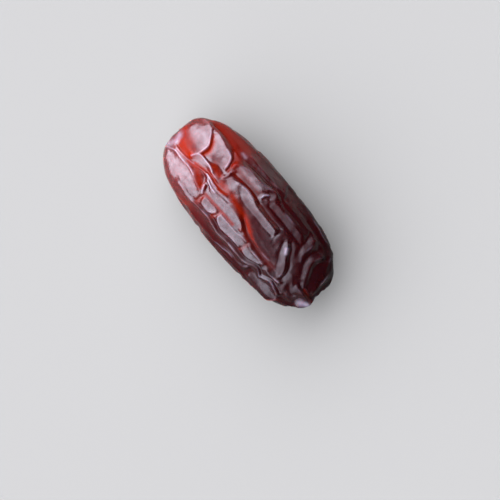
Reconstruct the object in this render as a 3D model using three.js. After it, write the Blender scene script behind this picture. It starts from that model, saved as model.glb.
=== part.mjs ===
// A single dried date, life size, lying on its side.
// Millimetres, +Z up, +X from the stem end to the tip. The origin is under the middle of the fruit,
// on the small flat that its own weight has pressed into the underside.
import * as THREE from 'three';
import { mergeVertices } from 'three/addons/utils/BufferGeometryUtils.js';

// Driving dimensions of the smooth body that the folds are laid on
const LENGTH = 48.9;
const WIDTH = 22;
const HEIGHT = 20;
const END_POWER = 3.3; // how blunt both ends are: 2 is an ellipse, more is squarer
const END_TAPER = 0.1; // share of the girth lost from the middle to the ends
const PRESSED = 0.45; // depth of the underside pressed flat by the fruit's weight
const PRESS_FADE = 1.6; // height over which the folds die away above that flat

// How the skin hangs between its fold lines
const SLACK_LEVEL = -0.15; // level of the skin where no fold line is near
const SLACK_REACH = 7;
const CREST_ROUNDING = 0.22;
const CREASE_ROUNDING = 0.3;
const NEARNESS_POWER = 4; // how firmly the nearest line wins over the ones beyond it
const FOLD_REACH = 9; // beyond this distance a fold line has no say
const SLOPE_POWER = 1.2; // 1 gives straight slopes from crest to crease, more rounds them off at both
const LINE_STEPS_PER_POINT = 5;

// Ends
const SCAR = {
  radius: 2.2,
  depth: 0.8,
  steepness: 4,
  rim: 0.12,
  rimRadius: 3.3,
  rimWidth: 1.2,
  pleats: 9,
  pleatHeight: 0.1,
  pleatReach: 2.8,
};
const TIP = { radius: 0.7, height: 0.35, dimple: 0.25, dimpleRadius: 1.6, dimpleWidth: 0.7 };

// Mesh
const AROUND = 84;
const ALONG = 66;
const OUTLINE_STEPS = 1320; // steps in which the outline is measured to space the rings
const MERGE_WITHIN = 1e-3;
const TO_THE_SIDE = 0.98; // share of the half width at which a place seen from above still lies on top

// Fold lines of the upper side, each as [level, [x, y], ...]: the height in mm at which the line holds
// the skin over the smooth body, and the points it runs through as seen from above. A level pair
// runs from the first point to the last. A crest is the sharp upper edge of a facet.
const CRESTS = [
  // Tip shoulder: the broad facet on the +Y side and the narrow ridge beside it
  [0.65, [24, 3.9], [22, 3.85], [20, 3.85], [18.3, 3.85], [16.6, 3.75], [14.6, 4.15], [13, 4.7], [11.6, 5]],
  [[0.65, 0.5], [11.6, 5], [10.7, 5.6], [10.5, 7.1]],
  [[0.5, 0.15], [24.4, 3.3], [23, 3.2], [21.5, 3.2], [19.8, 3.15], [18, 2.95], [16.5, 2.6], [15, 2.3],
    [13.6, 2.05]],
  // Tip dome and the facet behind it
  [[0.65, 0.85], [17.4, 0.3], [17.3, -1.6], [17.4, -2.6], [18.2, -3.6], [19, -4.5], [19.8, -5.2]],
  [[0.85, 1], [19.8, -5.2], [21.6, -5.4], [23, -4.7], [23.9, -3.2]],
  [[0.45, 0.85], [11.1, -2.2], [11.3, -3.2], [11.7, -4], [12.3, -4.6], [13.4, -4.9], [15, -5.2],
    [16.4, -5.5], [17.8, -5.6], [18.8, -5.4]],
  [0.35, [9.8, -0.4], [9.4, -1.3], [9.6, -2.3], [9.3, -3.2]],
  // The long crest on the -Y side of the main valley, forked near the tip
  [0.6, [18.3, 1.9], [17.8, 0.8], [17.2, 0.25], [16, 0.15], [14.8, 0.15], [13.6, 0.25], [12.6, 0.65],
    [11.6, 1],
    [10.4, 0.9]],
  [[0.5, 0.2], [10.4, 0.9], [9.6, 0.3], [9, -0.6]],
  [[0.2, 0.85], [9, -0.6], [8, -1.5], [6.5, -2.15]],
  [[0.85, 0.6], [6.5, -2.15], [5, -2.6], [3.3, -2.7], [1.8, -2.5]],
  [0.6, [1.8, -2.5], [0.5, -2], [-1, -1.75], [-3, -1.7], [-5, -1.7], [-6.9, -1.6]],
  // Bowl between the tip shoulder and the long facet
  [0.5, [10.2, 5.4], [10.8, 4.7], [11.4, 3.8]],
  // Facet with a doubled edge, in the middle on the +Y side
  [0.6, [-1.7, 4], [-1.1, 3.4], [0, 2.9], [1.5, 2.6], [3.5, 2.5], [5.5, 2.65], [7, 2.9], [8.5, 3.05],
    [10, 2.95], [11.3, 2.6]],
  [0.35, [4.8, 2], [6, 2.1], [8, 2.3], [10, 2.25], [11.6, 1.9], [12.8, 1.8], [13.6, 2.05]],
  // Row of blocks between that facet and the long dark crease
  [0.4, [3.9, 5.9], [3.6, 5.3], [1.5, 5.2], [-0.5, 5.2], [-1.8, 5.1], [-3, 4.8], [-4.5, 4.8]],
  [0.45, [3.9, 5.9], [3.4, 6.5], [2.6, 6.9], [1.4, 7.2], [0, 7.1], [-2, 6.8], [-4.2, 6.8]],
  [0.4, [-5.6, 5], [-7, 5.2], [-9, 5.2], [-10.6, 5.2]],
  [0.5, [-5.6, 6.7], [-6.8, 6.9], [-8.4, 6.5], [-10, 5.8]],
  [0.45, [9, 5.7], [8.6, 5.45], [7, 5.35], [5.6, 5.4], [5.1, 5.8]],
  [0.45, [9, 5.7], [8.7, 6.5], [8.2, 6.95], [6.4, 6.95], [5.7, 6.5], [5.1, 5.8]],
  [0.35, [-12.4, 5.4], [-13.4, 5.5], [-14.6, 5.3], [-16.2, 5.1]],
  // The edge that overhangs the long dark crease, and the fold above it
  [[1.2, 0.6], [15.4, 7.2], [14, 7.5], [12.5, 8], [10.5, 8]],
  [[0.6, 0.45], [10.5, 8], [7.5, 7.8], [5.2, 7.8], [3.5, 8.1], [1.3, 8.45], [-0.8, 8.3]],
  [0.4, [-0.8, 8.3], [-3, 8.1], [-6.8, 8.15], [-8.6, 7.65], [-9.8, 6.95], [-11.2, 6.85], [-12.4, 7.55]],
  [[0.35, 0.7], [-12.4, 7.55], [-13.6, 6.95], [-15, 6.3], [-16.7, 6.65], [-18, 6.95]],
  [0.3, [-8.9, 8.2], [-8, 9.2], [-6.3, 9.5], [-4, 9.35], [-1.8, 9.8], [0.5, 10.1]],
  // Low bank of the winding valley, on its -Y side
  [-0.1, [-0.5, 1.5], [-2.2, 2.35], [-3.7, 3], [-5.1, 3.4], [-8, 3.75], [-11, 3.85]],
  // Middle of the -Y side
  [1.05, [10.3, -4], [9.4, -4.8], [8, -5.35], [6.5, -5.75], [4.8, -5.75], [3, -5.85], [1.4, -6.2]],
  [[1.05, 0.8], [1.4, -6.2], [0, -6.8], [-1, -6.8]],
  [[0.1, 0.3], [0.85, -4.1], [0.8, -4.9], [0.4, -5.4]],
  [0.25, [-2.2, -5.6], [-4, -5.9], [-7, -5.8], [-9.5, -5.7], [-11.5, -5.6]],
  [0.35, [9.5, -8.1], [6, -8.2], [3, -8.15], [0, -8.3], [-2, -8.6], [-1.1, -9.6], [-0.5, -10.6]],
  [0.4, [-19.2, -8.4], [-16, -8.9], [-13, -9.4], [-10, -9.8], [-7, -10.3]],
  // Curved folds on the stem half
  [[0.3, 0.55], [-15.3, 4], [-15, 2.7], [-14.2, 1.6], [-13, 0.4], [-12, -0.7], [-11.2, -1.6]],
  [[0.05, 0.5], [-20.9, 1.9], [-20.2, 0.9], [-19.2, -0.7], [-18.2, -2.2], [-17.8, -3.4],
    [-17.9, -4.6], [-18.3, -5.9]],
  [[0, 0.45], [-15.8, -1.6], [-15.2, -2.8], [-14.9, -4.2], [-14.8, -5.8], [-14.3, -7.2]],
  // Puckers round the stem end
  [[1.05, 0.4], [-23.9, 2.6], [-22.8, 2.55], [-21.5, 2.6], [-20, 2.7]],
  [1.15, [-23.9, 2.6], [-23.7, 3.8], [-23, 4.8]],
  [0.1, [-23.8, 1.5], [-22.8, 1.5], [-21.6, 1.3]],
  [0.1, [-21.4, 5.7], [-20.4, 5.9], [-19.4, 5.6]],
  [1.0, [-18.6, 7.6], [-18.1, 8.2], [-17.5, 8.9], [-16.8, 9.4]],
  [0.15, [-18.5, 6.2], [-18, 5.6], [-17.7, 4.8]],
  [-0.05, [-18.8, 3.2], [-18, 2.7], [-17.3, 2]],
  [0.25, [-23, 0.8], [-22.8, -1], [-22.6, -3], [-22, -5]],
  [0.3, [-20.6, -5.2], [-20.1, -6.5], [-19.7, -7.3]],
];

// A crease is the bottom of a valley, the foot of a facet or the outer edge of a broad one.
const CREASES = [
  // Outer edge of the tip shoulder, and the rim of the tip
  [[0.85, 1.4], [23.2, 4.7], [22, 5.8], [20, 7.1], [18, 7.9]],
  [[1.4, 1.1], [18, 7.9], [16, 8.5], [14, 9]],
  [0.7, [24.1, 3.4], [24.3, 1.5], [24.35, -0.5], [24.2, -2.6]],
  // Foot of the tip shoulder
  [[0.2, -0.05], [23.6, 3.6], [21.5, 3.55], [19, 3.55], [17, 3.4]],
  [[-0.1, -0.55], [17, 3.4], [16, 3.1], [14.8, 2.75], [13.6, 2.55], [12.7, 2.95]],
  [[-0.55, -0.3], [12.7, 2.95], [12, 3.6], [11.7, 4.2]],
  // The long winding valley from the tip to the stem end
  [[-0.4, -0.6], [22.4, 2.6], [21, 2.8], [19.5, 2.8], [18, 2.65], [16.5, 2.5], [15, 2], [13.5, 1.5],
    [12, 1.3]],
  [-0.5, [12, 1.3], [10, 1.65], [8.3, 1.7], [7, 1.4], [6, 0.9], [5.2, 0], [4.4, -0.9]],
  [-0.55, [4.4, -0.9], [2.5, -0.3], [1, -0.2], [-1.5, -0.2], [-4, -0.25], [-7.2, -0.4]],
  [[-0.5, -0.4], [-0.3, 1.9], [-2, 2.75], [-3.5, 3.4], [-5, 3.85], [-8, 4.2], [-11, 4.3], [-14.3, 4.1]],
  // Foot of the tip dome and of the facet behind it
  [[-0.4, 0.3], [16.7, -0.4], [16.5, -1.6], [16.8, -2.7], [17.6, -3.8], [18.5, -4.7], [19.3, -5.2]],
  [[-0.55, -0.4], [10.6, -1.2], [11.6, -1.5], [12.8, -1.5], [13.7, -1.1], [14.3, -0.7], [15.5, -0.45],
    [16.7, -0.4]],
  [-0.4, [10.5, -2], [10.6, -2.9], [11, -3.9], [11.6, -5], [12.6, -5.9]],
  // Bowl between the tip shoulder and the long facet
  [-0.25, [10.1, 4.3], [10.5, 3.4]],
  // The doubled edge and the row of blocks
  [0.15, [4.6, 2.3], [6, 2.4], [7, 2.6], [8.5, 2.75], [10, 2.65], [11.4, 2.3]],
  [-0.05, [3.6, 4.9], [2, 4.9], [0.5, 4.9], [-1.2, 4.8], [-2.4, 4.5]],
  [-0.1, [4.4, 5], [6, 5.1], [8, 5.15], [9.5, 5.2]],
  [-0.2, [-5.1, 4.9], [-5, 6], [-4.9, 7.3]],
  [-0.2, [4.3, 5], [4.5, 6], [4.9, 7.2]],
  [-0.25, [9.5, 5.2], [9.7, 6.2], [9.8, 7.3]],
  [-0.1, [-11.5, 5.3], [-11.4, 6.2]],
  // The long dark crease along the +Y side
  [[1.15, 0.25], [15.4, 6.8], [14, 7.1], [12.2, 7.55], [10.5, 7.6]],
  [[0.2, -0.3], [10.5, 7.6], [9, 7.5], [7.5, 7.4]],
  [[-0.3, -0.45], [7.5, 7.4], [5, 7.35], [3.5, 7.45], [2.6, 7.6], [1.4, 7.9], [0, 7.8], [-2, 7.5]],
  [-0.45, [-2, 7.5], [-4.5, 7.45], [-6.5, 7.6], [-8.2, 7.15], [-9.7, 6.5], [-11.2, 6.35], [-12.4, 7]],
  [[-0.3, -0.05], [-12.4, 7], [-13.5, 6.5], [-15, 5.8], [-16.5, 6.1], [-18, 6.3]],
  // Outer edge of the facet above it on the stem half
  [[1.2, 0.6], [-16.8, 8.7], [-15, 9], [-13, 9.2], [-11, 9.2]],
  [-0.3, [-9.8, 8.2], [-9.4, 9.4], [-8.6, 10.2]],
  // Middle of the -Y side
  [-0.6, [9.2, -3.1], [8, -3.2], [6.5, -3.4], [5, -3.6], [3, -3.65], [1.5, -3.5], [0, -3.2]],
  [-0.4, [0, -3.2], [-2, -3], [-4, -2.9], [-7, -2.9]],
  [-0.2, [0.3, -4.2], [0.1, -4.9], [-0.5, -5.3]],
  [-0.35, [-1.8, -4.3], [-5, -4.4], [-9, -4.3], [-12.3, -4.2]],
  [-0.05, [-1.5, -7.8], [-4, -7], [-8, -7], [-12, -7]],
  [-0.35, [-3, -8.3], [-2.2, -9.5], [-1.5, -10.6]],
  [[-0.25, 0], [20, -6.9], [16, -7], [12, -6.5], [9, -6.9], [6, -7.3], [3, -7.4], [0.5, -7.8]],
  [-0.2, [-18, -7.9], [-14.5, -8.2], [-11, -8.5], [-7.5, -8.9], [-4, -8.9]],
  // Stem half
  [-0.3, [-13.5, 3.7], [-12.8, 2.6], [-12, 1.6], [-11.3, 0.6], [-10.7, -0.4], [-10.2, -1.6]],
  [-0.4, [-16.1, 4], [-15.9, 2.5], [-15.1, 1], [-13.8, -0.3], [-12.7, -1.7], [-11.4, -2.7]],
  [-0.35, [-8.6, 0.5], [-7.8, -0.6], [-7.8, -1.8]],
  [-0.35, [-21.8, 1.4], [-21, -0.2], [-19.8, -1.9], [-19, -3.4], [-19.1, -5.2], [-19.4, -6.6]],
  [[-0.2, -0.4], [-18.6, 0.8], [-17.4, -0.9], [-16.5, -2.4], [-16.2, -4.4], [-16.5, -6.6]],
  [-0.35, [-14.1, -2.3], [-13.4, -4], [-13.2, -5.6], [-12.6, -7.2]],
  [-0.4, [-23.9, 1.8], [-22.8, 1.9], [-21.2, 1.9], [-19.8, 1.8]],
  [-0.15, [-22, 3.9], [-21.7, 4.8], [-21.4, 5.4]],
  [-0.2, [-20.6, 4.6], [-19.8, 4.6], [-19, 4.3]],
  [-0.1, [-22.5, 6.2], [-21, 6.5], [-19.5, 6.5]],
  [-0.3, [-19.8, 7.6], [-18.9, 8.6]],
  [-0.25, [-23.9, 0.5], [-23.8, -1.5], [-23.5, -3.6]],
];

// Fold lines of the underside and flanks, drawn by rule: crests and creases take turns round the
// fruit, each broken into a few pieces that wander and stop at different places.
const UNDER = {
  seed: 20,
  from: 84, // degrees from the top, on the +Y side
  to: 276,
  lines: 19,
  crestLevel: [0.25, 0.5],
  creaseLevel: [-0.5, -0.25],
  wander: 4.5, // degrees
  reach: 21.5, // mm from the middle to the outermost point of a line
  pieces: 3,
  pointsPerPiece: 5,
  gap: 2.2,
  stagger: 0.6, // share of a piece by which the breaks of a line may be shifted
  ties: 14, // short creases that cut across the crests
  tieLevel: [-0.3, 0],
  tieSpan: 16, // degrees
  tieLean: 1.2,
};

// A small repeatable random source
let seed = UNDER.seed;
function random([low, high]) {
  seed = (Math.imul(seed, 1664525) + 1013904223) >>> 0;
  return low + ((high - low) * seed) / 2 ** 32;
}

// Share of the full girth at a place along the fruit
function girth(x) {
  const out = Math.min(1, Math.abs((2 * x) / LENGTH));
  return (1 - out ** END_POWER) ** (1 / END_POWER) * (1 - END_TAPER * out ** 2);
}

// A point of the smooth body, by its place along the fruit and its turn from the top towards +Y
function bodyPoint(x, turn) {
  const share = girth(x);
  const across = (WIDTH / 2) * share * Math.sin(turn);
  const up = (HEIGHT / 2) * share * Math.cos(turn);
  return new THREE.Vector3(x, across, HEIGHT / 2 + up);
}

// Half of the outline as a curve, so that the rings of the mesh can be spaced evenly along it
class Outline extends THREE.Curve {
  getPoint(t, target = new THREE.Vector2()) {
    const way = -Math.cos(Math.PI * t);
    const x = (Math.sign(way) * Math.abs(way) ** (2 / END_POWER) * LENGTH) / 2;
    return target.set(x, (WIDTH / 2) * girth(x));
  }
}

// A fold line as points of the smooth body, from places along the fruit and turns in degrees
function foldLine(level, places) {
  const [from, to = from] = [level].flat();
  const corners = places.map(([x, degrees]) => new THREE.Vector3(x, degrees, 0));
  const curve = new THREE.CatmullRomCurve3(corners, false, 'catmullrom');
  const steps = (places.length - 1) * LINE_STEPS_PER_POINT;
  const points = curve.getPoints(steps).map((p) => bodyPoint(p.x, THREE.MathUtils.degToRad(p.y)));
  return { from, to, points };
}

// The turn from the top, in degrees, at which the body seen from above lies at x, y
function turnSeenAt(x, y) {
  const share = y / ((WIDTH / 2) * girth(x));
  return THREE.MathUtils.radToDeg(Math.asin(THREE.MathUtils.clamp(share, -TO_THE_SIDE, TO_THE_SIDE)));
}

function upperFold([level, ...seen]) {
  return foldLine(level, seen.map(([x, y]) => [x, turnSeenAt(x, y)]));
}

// One line along the underside, broken into pieces
function underLine(turn, levels) {
  const span = (2 * UNDER.reach) / UNDER.pieces;
  const shift = random([-0.5, 0.5]) * span * UNDER.stagger;
  const pieces = [];
  for (let piece = 0; piece < UNDER.pieces; piece++) {
    const start = Math.max(-UNDER.reach, -UNDER.reach + piece * span + shift);
    const end = Math.min(UNDER.reach, -UNDER.reach + (piece + 1) * span + shift - UNDER.gap);
    const level = random(levels);
    const places = [];
    for (let i = 0; i < UNDER.pointsPerPiece; i++) {
      const x = start + ((end - start) * i) / (UNDER.pointsPerPiece - 1);
      places.push([x, turn + random([-UNDER.wander, UNDER.wander])]);
    }
    pieces.push(foldLine(level, places));
  }
  return pieces;
}

// A short crease that ties neighbouring lines of the underside together
function underTie() {
  const x = random([-UNDER.reach, UNDER.reach]);
  const turn = random([UNDER.from, UNDER.to - UNDER.tieSpan]);
  const lean = random([-UNDER.tieLean, UNDER.tieLean]);
  const level = random(UNDER.tieLevel);
  const middle = [x + lean, turn + UNDER.tieSpan / 2];
  return foldLine(level, [[x, turn], middle, [x + lean / 2, turn + UNDER.tieSpan]]);
}

function allFolds() {
  const crests = CRESTS.map(upperFold);
  const creases = CREASES.map(upperFold);
  for (let line = 0; line < UNDER.lines; line++) {
    const turn = UNDER.from + ((UNDER.to - UNDER.from) * line) / (UNDER.lines - 1);
    if (line % 2) crests.push(...underLine(turn, UNDER.crestLevel));
    else creases.push(...underLine(turn, UNDER.creaseLevel));
  }
  for (let tie = 0; tie < UNDER.ties; tie++) creases.push(underTie());
  return { crests, creases };
}

// Distance from a point to a fold line, and how far along the line the nearest place is
const segment = new THREE.Line3();
const nearest = new THREE.Vector3();
function approach(point, line) {
  let distance = Infinity;
  let place = 0;
  for (let i = 1; i < line.length; i++) {
    segment.set(line[i - 1], line[i]);
    const along = segment.closestPointToPointParameter(point, true);
    const d = segment.at(along, nearest).distanceTo(point);
    if (d < distance) {
      distance = d;
      place = (i - 1 + along) / (line.length - 1);
    }
  }
  return { distance, place };
}

// The pull of one kind of fold line at a point: how near the lines are, and at what level they hold
function pull(point, folds, rounding) {
  let sum = 0;
  let levels = 0;
  for (const { from, to, points } of folds) {
    const { distance, place } = approach(point, points);
    if (distance > FOLD_REACH) continue;
    const weight = Math.hypot(distance, rounding) ** -NEARNESS_POWER;
    sum += weight;
    levels += weight * THREE.MathUtils.lerp(from, to, place);
  }
  return { strength: sum ** (SLOPE_POWER / NEARNESS_POWER), level: sum ? levels / sum : 0 };
}

// Height of the folded skin over the smooth body: slopes from crest to crease
function foldHeight(point, { crests, creases }) {
  const crest = pull(point, crests, CREST_ROUNDING);
  const crease = pull(point, creases, CREASE_ROUNDING);
  const slack = SLACK_REACH ** -SLOPE_POWER;
  const levels = crest.strength * crest.level + crease.strength * crease.level + slack * SLACK_LEVEL;
  return levels / (crest.strength + crease.strength + slack);
}

// A smooth bump of height 1 at the middle and the given width
function bump(distance, width) {
  return Math.exp(-((distance / width) ** 2));
}

// The puckered scar where the stalk was, and the small nub at the tip
function endHeight(point) {
  const off = Math.hypot(point.y, point.z - HEIGHT / 2);
  if (point.x > 0) {
    return TIP.height * bump(off, TIP.radius) - TIP.dimple * bump(off - TIP.dimpleRadius, TIP.dimpleWidth);
  }
  const turn = Math.atan2(point.y, point.z - HEIGHT / 2);
  const pit = SCAR.depth * Math.exp(-((off / SCAR.radius) ** SCAR.steepness));
  const rim = SCAR.rim * bump(off - SCAR.rimRadius, SCAR.rimWidth);
  const pleats = SCAR.pleatHeight * Math.cos(SCAR.pleats * turn) * Math.min(1, off / SCAR.radius);
  return rim - pit + pleats * bump(off - SCAR.rimRadius, SCAR.pleatReach);
}

// The smooth body as a closed mesh: a ball of rings, laid onto the body
function smoothBody() {
  const ball = new THREE.SphereGeometry(1, AROUND, ALONG);
  const place = ball.getAttribute('uv');
  const position = ball.getAttribute('position');
  const outline = new Outline();
  outline.arcLengthDivisions = OUTLINE_STEPS;
  for (let i = 0; i < position.count; i++) {
    const { x } = outline.getPointAt(THREE.MathUtils.clamp(place.getY(i), 0, 1));
    const p = bodyPoint(x, -2 * Math.PI * place.getX(i));
    position.setXYZ(i, p.x, p.y, p.z);
  }
  ball.deleteAttribute('normal');
  ball.deleteAttribute('uv');
  const body = mergeVertices(ball, MERGE_WITHIN);
  body.computeVertexNormals();
  return body;
}

function dateGeometry() {
  const skin = smoothBody();
  const folds = allFolds();
  const position = skin.getAttribute('position');
  const normal = skin.getAttribute('normal');
  const point = new THREE.Vector3();
  const outward = new THREE.Vector3();
  for (let i = 0; i < position.count; i++) {
    point.fromBufferAttribute(position, i);
    outward.fromBufferAttribute(normal, i);
    const free = THREE.MathUtils.smoothstep(point.z, PRESSED, PRESSED + PRESS_FADE);
    point.addScaledVector(outward, foldHeight(point, folds) * free + endHeight(point));
    position.setXYZ(i, point.x, point.y, Math.max(point.z, PRESSED));
  }
  skin.computeBoundingBox();
  const middle = skin.boundingBox.getCenter(new THREE.Vector3());
  skin.translate(-middle.x, -middle.y, -PRESSED);
  skin.computeVertexNormals();
  return skin;
}

const skinFinish = new THREE.MeshStandardMaterial({ color: 0x5a1410, roughness: 0.3, metalness: 0 });
const date = new THREE.Mesh(dateGeometry(), skinFinish);
date.name = 'date_fruit';

const fruit = new THREE.Group();
fruit.add(date);
export default fruit;
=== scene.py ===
# A single dried date on a plain pale floor, seen from straight above.
# The skin is laid over the same smooth body and the same fold lines as the solid, on a finer mesh.
import math

import bpy
import numpy as np
from mathutils import Matrix, Vector, noise


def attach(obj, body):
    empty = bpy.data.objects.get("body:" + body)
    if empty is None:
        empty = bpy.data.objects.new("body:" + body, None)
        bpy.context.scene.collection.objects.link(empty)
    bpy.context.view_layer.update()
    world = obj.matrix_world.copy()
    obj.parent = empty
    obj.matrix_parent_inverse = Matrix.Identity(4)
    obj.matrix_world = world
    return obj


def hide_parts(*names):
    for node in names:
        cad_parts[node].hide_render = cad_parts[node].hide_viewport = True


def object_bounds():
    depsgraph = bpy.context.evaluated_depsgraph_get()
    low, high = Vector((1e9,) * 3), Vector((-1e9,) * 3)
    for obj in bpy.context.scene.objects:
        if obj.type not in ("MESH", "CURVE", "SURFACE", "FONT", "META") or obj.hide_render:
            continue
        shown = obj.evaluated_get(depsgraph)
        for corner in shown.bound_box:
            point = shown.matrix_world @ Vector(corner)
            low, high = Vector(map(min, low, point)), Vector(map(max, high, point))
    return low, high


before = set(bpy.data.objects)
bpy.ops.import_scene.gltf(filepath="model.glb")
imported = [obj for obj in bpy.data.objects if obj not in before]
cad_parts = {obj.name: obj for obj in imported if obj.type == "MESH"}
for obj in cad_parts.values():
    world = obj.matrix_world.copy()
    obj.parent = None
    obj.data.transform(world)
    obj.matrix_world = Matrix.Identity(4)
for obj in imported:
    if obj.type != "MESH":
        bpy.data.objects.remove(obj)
cad_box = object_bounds()

MM = 0.001

# Driving dimensions of the smooth body, in mm
LENGTH = 48.9
WIDTH = 22.0
HEIGHT = 20.0
END_POWER = 3.3  # how blunt both ends are: 2 is an ellipse, more is squarer
END_TAPER = 0.1  # share of the girth lost from the middle to the ends
PRESSED = 0.45  # depth of the underside pressed flat by the fruit's weight
PRESS_FADE = 1.6  # height over which the folds die away above that flat

# How the skin hangs between its fold lines, in mm
SLACK_LEVEL = -0.15  # level of the skin where no fold line is near
SLACK_REACH = 7.0
CREST_ROUNDING = 0.12
CREASE_ROUNDING = 0.15
NEARNESS_POWER = 4  # how firmly the nearest line wins over the ones beyond it
FOLD_REACH = 9.0  # beyond this distance a fold line has no say
SLOPE_POWER = 1.2  # 1 gives straight slopes from crest to crease, more rounds them off at both
LINE_STEPS_PER_POINT = 5
TO_THE_SIDE = 0.98  # the furthest out that a place seen from above may lie, as a share of the half width
LEAST_HALF_WIDTH = 1e-6  # for places past the ends, where the body has no width

# Mesh
AROUND = 352
ALONG = 280
OUTLINE_STEPS = 5600  # fine steps along the outline, from which even stations are read
FINER_ON_TOP = 0.22  # share by which the mesh is finer on top and coarser below

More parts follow.
